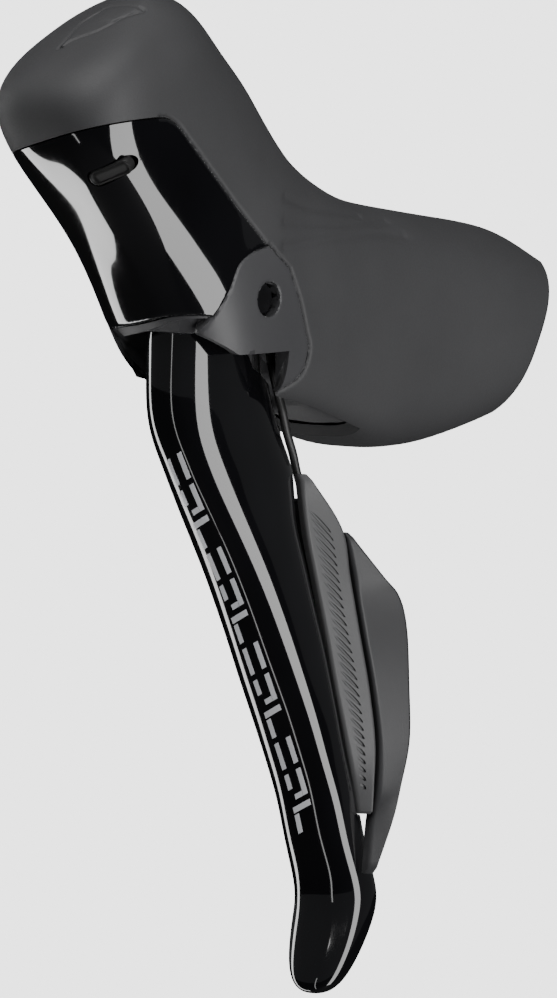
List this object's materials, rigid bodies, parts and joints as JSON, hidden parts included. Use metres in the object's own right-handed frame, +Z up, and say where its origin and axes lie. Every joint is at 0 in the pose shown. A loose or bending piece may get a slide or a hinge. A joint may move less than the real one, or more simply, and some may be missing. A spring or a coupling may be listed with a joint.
{
  "type": "brake shift lever",
  "caption": "Left drop-bar brake and shift lever: rubber hooded bracket with hydraulic master cylinder, gloss brake blade and electronic shift buttons.",
  "frame": {"origin": "centre of the flat at the bottom of the handlebar seat, where the bar touches the bracket", "axes": "+X outboard (left-hand lever, towards the rider's left), +Y rearward, +Z up with the hood's grip level"},
  "size_m": [0.0408, 0.1338, 0.183],
  "materials": {
    "hood_rubber": "matte moulded rubber, fine grain",
    "bracket_resin": "satin fibre-filled resin",
    "gloss_black": "deep gloss black lacquer",
    "button_grey": "satin, fine diagonal grooves",
    "button_black": "satin, smooth",
    "inner_resin": "plain moulded resin",
    "seal_rubber": "smooth rubber",
    "steel": "machined and ground",
    "black_steel": "black oxide",
    "alloy": "machined",
    "brass": "machined",
    "board_green": "solder mask",
    "switch_white": "plain moulded resin",
    "cable_sheath": "smooth sheath"
  },
  "bodies": {
    "bracket": {"axle_pin": "steel", "battery_cover": "inner_resin", "battery_cover_screw": "steel", "battery_tray": "inner_resin", "bleed_o_ring": "seal_rubber", "bleed_screw": "black_steel", "bracket_body": "bracket_resin", "clamp_band": "steel", "clamp_bolt": "steel", "coin_cell": "steel", "control_board": "board_green", "cylinder_circlip": "black_steel", "cylinder_sleeve": "alloy", "hood_cover": "hood_rubber", "hose_port_plug": "black_steel", "lever_return_spring": "steel", "name_plate": "gloss_black", "name_plate_plug": "seal_rubber", "name_plate_screw": "black_steel", "piston_spring": "steel", "reservoir_diaphragm": "seal_rubber", "stroke_adjust_screw": "black_steel", "top_button_switch": "switch_white", "wire_port_plug_1": "seal_rubber", "wire_port_plug_2": "seal_rubber"},
    "lever": {"lever_support": "alloy", "push_barrel": "steel", "lever_blade": "gloss_black", "axle_bush_inboard": "brass", "axle_bush_outboard": "brass", "blade_screw_1": "black_steel", "blade_screw_2": "black_steel", "reach_adjust_screw": "black_steel", "switch_housing": "inner_resin", "switch_board": "board_green", "front_switch": "switch_white", "rear_switch": "switch_white", "switch_unit_screw": "black_steel", "switch_lead": "cable_sheath", "lead_connector": "inner_resin", "front_button_pin": "steel", "rear_button_pin": "steel", "front_button_spring": "steel", "rear_button_spring": "steel"},
    "piston": {"piston": "alloy", "piston_seal_front": "seal_rubber", "piston_seal_rear": "seal_rubber", "push_rod": "steel"},
    "front_button": {"front_button": "button_grey"},
    "rear_button": {"rear_button": "button_black"},
    "top_button": {"top_button": "inner_resin"}
  },
  "joints": [
    {"name": "lever_pivot", "type": "hinge", "parent": "bracket", "child": "lever", "pos_m": [0, -0.06477, 0.00473], "axis": [1, 0, 0], "range_deg": [0, 18], "stiffness_Nm_per_rad": 0.15, "springref_deg": -17.19, "deforming": ["lever_return_spring"]},
    {"name": "piston_slide", "type": "slide", "parent": "bracket", "child": "piston", "axis": [0, 1, 0], "range_m": [0, 0.0026], "deforming": ["piston_spring"]},
    {"name": "front_button_press", "type": "hinge", "parent": "lever", "child": "front_button", "pos_m": [0.00926, -0.04256, -0.05527], "axis": [-0.1013, -0.1419, 0.9847], "range_deg": [0, 5], "stiffness_Nm_per_rad": 0.02, "springref_deg": -5.73, "deforming": ["front_button_spring"]},
    {"name": "rear_button_press", "type": "hinge", "parent": "lever", "child": "rear_button", "pos_m": [0.01291, -0.03268, -0.05527], "axis": [-0.1045, 0.006, 0.9945], "range_deg": [0, 4], "stiffness_Nm_per_rad": 0.02, "springref_deg": -5.73, "deforming": ["rear_button_spring"]},
    {"name": "top_button_press", "type": "slide", "parent": "bracket", "child": "top_button", "axis": [0, 0.45, -0.893], "range_m": [0, 0.0008], "stiffness_N_per_m": 600, "springref_m": -0.0015}
  ],
  "couplings": [
    {"joint": "piston_slide", "follows": "lever_pivot", "m_per_rad": 0.008}
  ]
}
